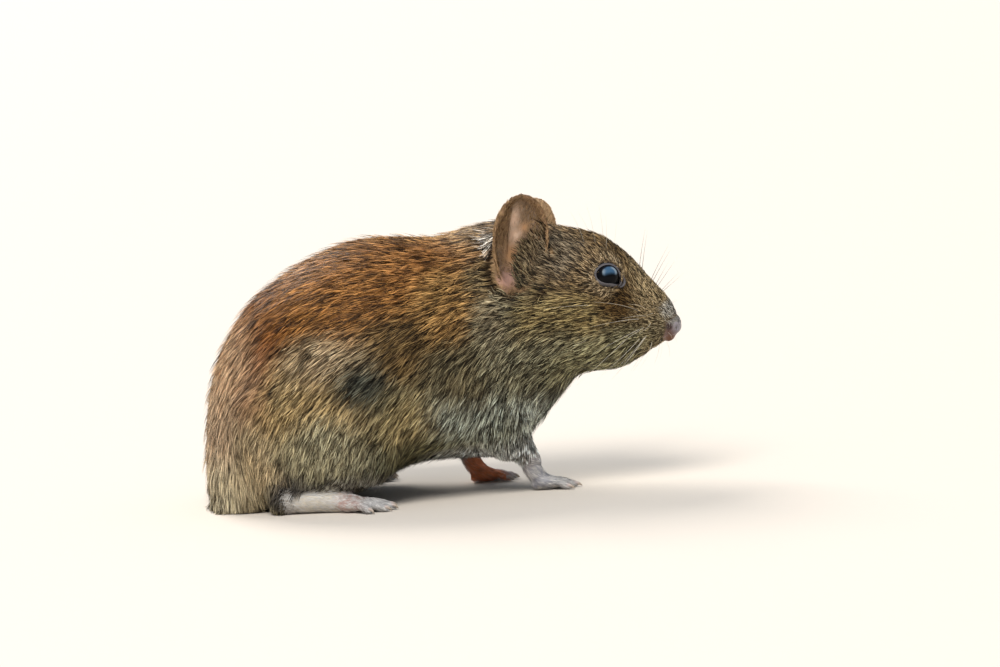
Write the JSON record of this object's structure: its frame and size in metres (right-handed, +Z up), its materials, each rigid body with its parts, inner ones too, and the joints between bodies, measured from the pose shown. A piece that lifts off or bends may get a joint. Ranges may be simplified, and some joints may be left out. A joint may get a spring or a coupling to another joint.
{
  "type": "bank vole",
  "caption": "Life-size museum model of a bank vole, hunched on its feet with the head raised, ears up and tail curled along its side.",
  "frame": {"origin": "middle of the animal's footprint, on the floor that it stands on", "axes": "+X towards the nose, +Y towards the animal's left side, +Z up"},
  "size_m": [0.0754, 0.0474, 0.0465],
  "materials": {
    "body_coat": "short dense fur, chestnut above, ochre flanks, grey-cream below",
    "head_coat": "short dense fur, grizzled olive brown",
    "tail_coat": "short bristly hair, dark above, pale below",
    "foot_skin": "pink skin with fine white hair",
    "ear_skin": "thin skin with short brown hair",
    "nose_skin": "bare damp red-brown skin",
    "eye": "wet black"
  },
  "bodies": {
    "root": {"head": "head_coat", "neck": "body_coat", "torso": "body_coat", "foreleg_left": "body_coat", "foreleg_right": "body_coat", "hindleg_left": "body_coat", "hindleg_right": "body_coat", "forepaw_left": "foot_skin", "forepaw_right": "foot_skin", "hindfoot_left": "foot_skin", "hindfoot_right": "foot_skin", "ear_left": "ear_skin", "ear_right": "ear_skin", "eye_left": "eye", "eye_right": "eye", "nose": "nose_skin", "tail_base": "tail_coat", "tail_middle": "tail_coat", "tail_tip": "tail_coat"}
  },
  "joints": []
}
